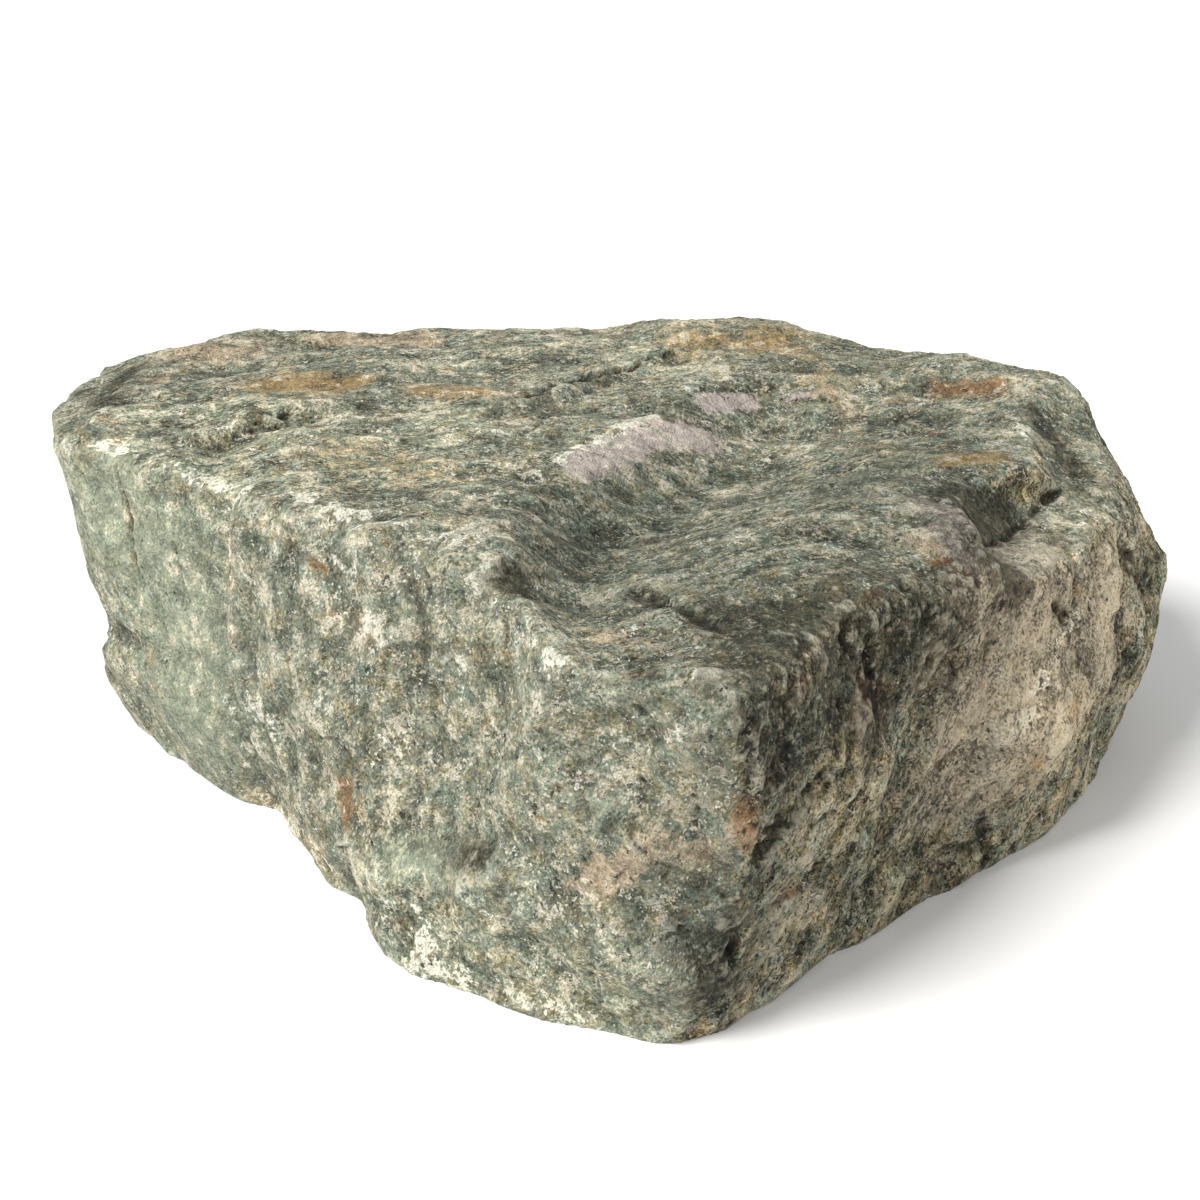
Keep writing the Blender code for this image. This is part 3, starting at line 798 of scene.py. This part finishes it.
def laid_out(stretch, shift=0.0):
    """Places in mm, drawn out along the layers, up them and across them."""
    scale = [length * MM for length in stretch]
    return add_node(tree, "Mapping", {"Vector": object_place, "Rotation": LAYERS_TURN, "Scale": scale,
                    "Location": (shift, shift, shift)}, vector_type="TEXTURE").outputs["Vector"]


def swayed(vector, reach):
    moved = add_node(tree, "VectorMath", {0: sway, "Scale": reach}, operation="SCALE").outputs[0]
    return add_node(tree, "VectorMath", {0: vector, 1: moved}, operation="ADD").outputs[0]


def cells(vector, size):
    """Separate mineral grains, each with a tone of its own, as three values from 0 to 1."""
    made = add_node(tree, "TexVoronoi", {"Vector": vector, "Scale": 1 / size, "Randomness": 1.0})
    return made.outputs["Color"]


def facets(vector, size):
    """Heights of small flat faces, each tilted its own way, as a hammer leaves them."""
    made = add_node(tree, "TexVoronoi", {"Vector": vector, "Scale": 1 / size, "Randomness": 1.0})
    off_middle = add_node(tree, "VectorMath", {0: vector, 1: made.outputs["Position"]},
                          operation="SUBTRACT").outputs[0]
    tilt = add_node(tree, "VectorMath", {0: made.outputs["Color"], 1: (0.5, 0.5, 0.5)},
                    operation="SUBTRACT").outputs[0]
    return add_node(tree, "VectorMath", {0: off_middle, 1: tilt}, operation="DOT_PRODUCT").outputs["Value"]


def one_of(colour, which):
    """One of a colour's three values, from -1 to 1."""
    parted = add_node(tree, "SeparateColor", {"Color": colour}).outputs[which]
    return times(sum_of(tree, parted, 0.5, "SUBTRACT"), 2.0)


def above(pattern, level, soft=0.15):
    """1 where a pattern is above a level and 0 below it, with a crisp edge."""
    over = sum_of(tree, pattern, level, "SUBTRACT")
    return add_node(tree, "MapRange", {"Value": over, "From Min": -soft, "From Max": soft},
                    interpolation_type="SMOOTHSTEP").outputs["Result"]


def turned(on_joint, on_split):
    """One pattern on the flat joint faces and another where the layers are split across."""
    return add_node(tree, "Mix", {"Factor": split, "A": on_joint, "B": on_split}).outputs[0]


def multiplied(first, second):
    return sum_of(tree, first, second, "MULTIPLY")


def shaded(colour, share, tint):
    """The colour with a tint laid over it, by a share."""
    return mixed(tree, share, colour, mixed(tree, 1.0, colour, (*tint, 1), "MULTIPLY"))


def seams(vector, size, width, detail=2.0):
    """1 along thin lines that wander through the stone, and 0 away from them."""
    off_line = sum_of(tree, grain(vector, size, detail), 0.0, "ABSOLUTE")
    return add_node(tree, "MapRange", {"Value": off_line, "From Min": 0.0, "From Max": width,
                    "To Min": 1.0, "To Max": 0.0}, interpolation_type="SMOOTHSTEP").outputs["Result"]


object_place = add_node(tree, "TexCoord", {}).outputs["Object"]
even = laid_out((1, 1, 1))
sway = add_node(tree, "TexNoise", {"Vector": even, "Scale": 1 / 24, "Detail": 0.0}).outputs["Color"]
sway = add_node(tree, "VectorMath", {0: sway, 1: (0.5, 0.5, 0.5)}, operation="SUBTRACT").outputs[0]
granular = swayed(laid_out((1.1, 1.2, 1)), 3.0)
layered = swayed(laid_out((1.9, 2.5, 1)), 2.0)
drawn = swayed(laid_out((3.4, 4.8, 1)), 1.5)
right_side = kept("right_side")
split = kept("split")

broad = grain(even, 40, 2)
cluster = grain(granular, 7.0, 3)
clump = grain(laid_out((1.3, 1.6, 1), 3.0), 6.0, 3)
streaks = grain(layered, 3.6, 2)
needles = grain(drawn, 0.8, 1)
blots = grain(granular, 6.5, 3)
lumps = grain(granular, 2.4, 2)
grit = grain(granular, 0.7, 2)
hue = grain(granular, 6, 3, 0.85)
crumb_colours = cells(granular, 0.62)
flake_colours = cells(granular, 1.5)
crumbs = one_of(crumb_colours, 0)
flakes = one_of(flake_colours, 0)

body = turned(grain(granular, 10, 4, 0.88), grain(layered, 10, 4, 0.88))
wisps = grain(laid_out((4.5, 6.0, 1), 7.0), 3.0, 2, 0.85)
tone = plus(times(broad, 0.03), times(body, 0.245), times(crumbs, 0.075), times(flakes, 0.035),
            times(grit, 0.05))
tone = plus(tone, multiplied(times(wisps, 0.045), split))
rough_tone = plus(times(grit, 0.10), times(crumbs, 0.09), times(wisps, 0.12))
tone = plus(tone, multiplied(rough_tone, right_side))
loud = plus(1.0, times(split, 0.20), times(right_side, 0.45))
tone = plus(multiplied(tone, loud), 0.516, times(right_side, 0.080))
# Painted shade: broad rises are lighter and broad hollows darker.
tone = plus(tone, times(sum_of(tree, kept("broad_rise_and_hollow_shade"), 0.5, "SUBTRACT"), 0.16))

stone = add_node(tree, "ValToRGB", {"Fac": tone})
STONE_TONES = [
    (0.10, (0.018, 0.020, 0.015)), (0.26, (0.060, 0.066, 0.048)), (0.38, (0.120, 0.127, 0.092)),
    (0.50, (0.203, 0.212, 0.155)), (0.60, (0.296, 0.306, 0.226)), (0.70, (0.415, 0.420, 0.322)),
    (0.82, (0.610, 0.600, 0.485)), (0.95, (0.80, 0.78, 0.69)),
]
while len(stone.color_ramp.elements) < len(STONE_TONES):
    stone.color_ramp.elements.new(0.5)
for stop, (place, colour) in zip(stone.color_ramp.elements, STONE_TONES):
    stop.position = place
for stop, (place, colour) in zip(stone.color_ramp.elements, STONE_TONES):
    stop.color = (*colour, 1)
colour = stone.outputs["Color"]

# Each grain leans a little to green, to rose or to yellow.
tint = add_node(tree, "VectorMath", {0: crumb_colours, 1: (0.5, 0.5, 0.5)}, operation="SUBTRACT").outputs[0]
tint = add_node(tree, "VectorMath", {0: tint, 1: (0.12, 0.06, 0.24), 2: (1.0, 1.0, 1.0)},
                operation="MULTIPLY_ADD").outputs[0]
colour = mixed(tree, 1.0, colour, tint, "MULTIPLY")
BLUE_GREEN_TINT = (0.89, 1.00, 1.00)
BROWN_TINT = (1.09, 0.99, 0.83)
bluish = add_node(tree, "MapRange", {"Value": hue, "From Min": 0.0, "From Max": 0.5},
                  interpolation_type="SMOOTHSTEP")
brownish = add_node(tree, "MapRange", {"Value": hue, "From Min": -0.05, "From Max": -0.5},
                    interpolation_type="SMOOTHSTEP")
colour = shaded(colour, bluish.outputs["Result"], BLUE_GREEN_TINT)
colour = shaded(colour, brownish.outputs["Result"], BROWN_TINT)

# The broken right side is stained brown in patches, and grey green between them.
weathered = grain(layered, 9, 3, 0.85)
stained = times(above(plus(weathered, times(flakes, 0.12)), 0.02, 0.22), right_side)
washed = times(above(plus(times(weathered, -1.0), times(crumbs, 0.10)), 0.10, 0.22), right_side)
STAINED_TINT = (1.07, 0.97, 0.76)
WASHED_TINT = (0.90, 0.98, 0.98)
colour = shaded(colour, times(stained, 0.85), STAINED_TINT)
colour = shaded(colour, times(washed, 0.85), WASHED_TINT)

# Crisp minerals in clusters: cream feldspar, white quartz and dark chlorite. Iron has stained some of
# them brown, and hairline cracks hold dirt.
layer_share = times(split, 0.8)
stain = grain(even, 10.0, 3)
cream_grains = grain(granular, 1.0, 1)
quartz_grains = grain(laid_out((1.1, 1.2, 1), 5.0), 1.4, 2)
dark_grains = grain(granular, 1.3, 2)
feldspar = above(plus(times(cream_grains, 0.55), times(cluster, 0.95),
                 times(crumbs, 0.35), multiplied(needles, layer_share)), 0.68, 0.16)
quartz = above(plus(times(quartz_grains, 0.75), times(clump, -0.45), times(blots, 0.45),
               times(crumbs, 0.30)), 0.80, 0.10)
chlorite = above(plus(times(dark_grains, 0.55), times(clump, 0.80),
                 times(flakes, 0.30), multiplied(needles, times(layer_share, -1.0)),
                 times(right_side, 0.12)), 0.74, 0.16)
pepper = above(plus(times(grit, 0.75), times(crumbs, 0.45), times(clump, 0.25)),
               plus(1.22, times(split, -0.25), times(right_side, -0.60)), 0.12)
brown = above(plus(times(stain, 0.95), times(dark_grains, 0.60), times(flakes, 0.25)), 0.80, 0.20)
orange = above(plus(times(stain, 0.80), times(cream_grains, 0.65), times(crumbs, 0.30)), 1.20, 0.14)
hairlines = multiplied(seams(granular, 9.0, 0.045, 3), above(stain, 0.15, 0.2))
WARM_FELDSPAR = (0.57, 0.505, 0.375, 1)
GREEN_FELDSPAR = (0.54, 0.54, 0.44, 1)
WHITE_QUARTZ = (0.78, 0.76, 0.67, 1)
CHLORITE_TINT = (0.35, 0.38, 0.35)
PEPPER_TINT = (0.22, 0.22, 0.20)
BROWN_GRAIN_TINT = (0.92, 0.70, 0.46)
ORANGE_GRAIN = (0.36, 0.205, 0.085, 1)
DIRT = (0.045, 0.04, 0.028, 1)
cream = mixed(tree, bluish.outputs["Result"], WARM_FELDSPAR, GREEN_FELDSPAR)
colour = mixed(tree, times(feldspar, 0.66), colour, cream)
colour = mixed(tree, times(quartz, 0.72), colour, WHITE_QUARTZ)
colour = shaded(colour, times(chlorite, 0.80), CHLORITE_TINT)
colour = shaded(colour, times(pepper, 0.80), PEPPER_TINT)
colour = shaded(colour, times(brown, 0.65), BROWN_GRAIN_TINT)
colour = mixed(tree, times(orange, 0.60), colour, ORANGE_GRAIN)
colour = mixed(tree, times(hairlines, 0.70), colour, DIRT)

shade = add_node(tree, "MapRange", {"Value": tone, "From Min": 0.25, "From Max": 0.75,
                 "To Min": 0.45, "To Max": 1.55})
soft_shade = add_node(tree, "MapRange", {"Value": tone, "From Min": 0.25, "From Max": 0.75,
                      "To Min": 0.74, "To Max": 1.22})


def speckled(coat, strength):
    """A colour that keeps the stone's speckle."""
    return add_node(tree, "VectorMath", {0: coat, "Scale": strength.outputs["Result"]},
                    operation="SCALE").outputs[0]


# Each coat of colour lies where its marks were kept, and breaks up at its edge.
COATS = {
    # kind: (colour, ragged, softness, how much it covers)
    "green": ((0.285, 0.32, 0.235), 0.10, 0.45, 0.78),
    "beige": ((0.44, 0.385, 0.295), 0.20, 0.35, 0.66),
    "mauve": ((0.175, 0.145, 0.13), 0.25, 0.30, 0.75),
    "pink": ((0.50, 0.43, 0.39), 0.22, 0.14, 0.90),
    "salmon": ((0.42, 0.31, 0.205), 0.42, 0.30, 0.62),
    "ochre": ((0.28, 0.185, 0.070), 0.45, 0.34, 0.80),
    "rust": ((0.21, 0.108, 0.040), 0.45, 0.32, 0.80),
    "pale": ((0.63, 0.615, 0.52), 0.55, 0.18, 0.78),
}
crust = plus(times(grit, 0.25), times(body, 1.6), times(blots, 0.5))
for kind, (coat, ragged, softness, cover) in COATS.items():
    mask = times(ragged_mark(kept(kind), crust, ragged, softness), cover)
    colour = mixed(tree, mask, colour, speckled(coat, soft_shade if kind in ("pink", "green") else shade))

# Dark stains with painted shade and shadow, holes full of dirt, bleached patches, damp patches with painted
# shade, darkening in what lies low with dirt and painted shade, and stone that is rubbed pale.
DARK_STAIN_AND_SHADE_TINT = (0.22, 0.212, 0.18)
HOLE_DIRT = (0.024, 0.021, 0.014, 1)
BLEACHED_TINT = (1.30, 1.30, 1.27)
DAMP_AND_SHADE_TINT = (0.40, 0.445, 0.45)
LOW_DIRT_AND_SHADE_TINT = (0.30, 0.26, 0.20)
RUBBED_STONE = (0.47, 0.465, 0.37)
RIGHT_SIDE_TINT = (1.0, 0.93, 0.86)
# The dark coat is partly dark stain and partly painted shade and shadow: in the notch under the mauve lobe,
# under the right peak and on the upper band turned from the light. It is also darker in pockets, grooves and
# hollows.
dark_stain_and_shade_mask = times(ragged_mark(kept("dark"), crust, 0.40, 0.20), 0.94)
colour = shaded(colour, dark_stain_and_shade_mask, DARK_STAIN_AND_SHADE_TINT)
holes = above(plus(times(grain(layered, 1.3, 2), 1.0), times(blots, 0.7), times(crumbs, 0.15)),
              plus(1.15, times(right_side, -0.25), times(kept("dark"), -0.5)), 0.12)
colour = mixed(tree, times(holes, 0.9), colour, HOLE_DIRT)
bleach_mask = ragged_mark(kept("bleached"), crust, 0.30, 0.40)
colour = shaded(colour, bleach_mask, BLEACHED_TINT)
# The shade marks: a damp blue-green darkening, partly chlorite colour and partly painted shade in the valley
# hollow.
shade_mask = ragged_mark(kept("shade"), plus(streaks, blots), 0.16, 0.45)
colour = shaded(colour, shade_mask, DAMP_AND_SHADE_TINT)
# What lies low and the furrows are darkened: dirt, and painted shade in hollows and creases.
low_dirt_and_shade_mask = times(ragged_mark(kept("low"), crust, 0.25, 0.35), 0.95)
colour = shaded(colour, low_dirt_and_shade_mask, LOW_DIRT_AND_SHADE_TINT)
worn_mask = times(ragged_mark(kept("worn"), crust, 0.40, 0.35), 0.35)
colour = mixed(tree, worn_mask, colour, speckled(RUBBED_STONE, shade))
colour = shaded(colour, times(right_side, 0.9), RIGHT_SIDE_TINT)
tree.links.new(colour, finish.inputs["Base Color"])

gloss = add_node(tree, "MapRange", {"Value": plus(crumbs, lumps), "From Min": -1.5, "From Max": 1.5,
                 "To Min": 0.92, "To Max": 0.62})
tree.links.new(gloss.outputs["Result"], finish.inputs["Roughness"])

# The finest roughness: low ledges, flat broken grains, small pits and fibres.
ledges = plus(above(blots, 0.15, 0.05), above(blots, -0.45, 0.05), above(streaks, 0.1, 0.06))
pitted = above(dark_grains, 0.55, 0.15)
height = plus(times(blots, 0.16), times(lumps, 0.16), times(grit, 0.20), times(pitted, -0.28),
              times(ledges, 0.10), times(facets(granular, 2.6), 0.85))
height = plus(height, multiplied(plus(times(streaks, 0.10), times(wisps, 0.08)), split))
height = multiplied(height, plus(1.0, times(right_side, 0.4)))
relief = add_node(tree, "Bump", {"Height": height, "Strength": 1.0, "Distance": MM})
tree.links.new(relief.outputs["Normal"], finish.inputs["Normal"])

rock.data.materials.append(schist)

# The dressed rock stands in for the solid one.
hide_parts("rock")
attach(rock, "root")
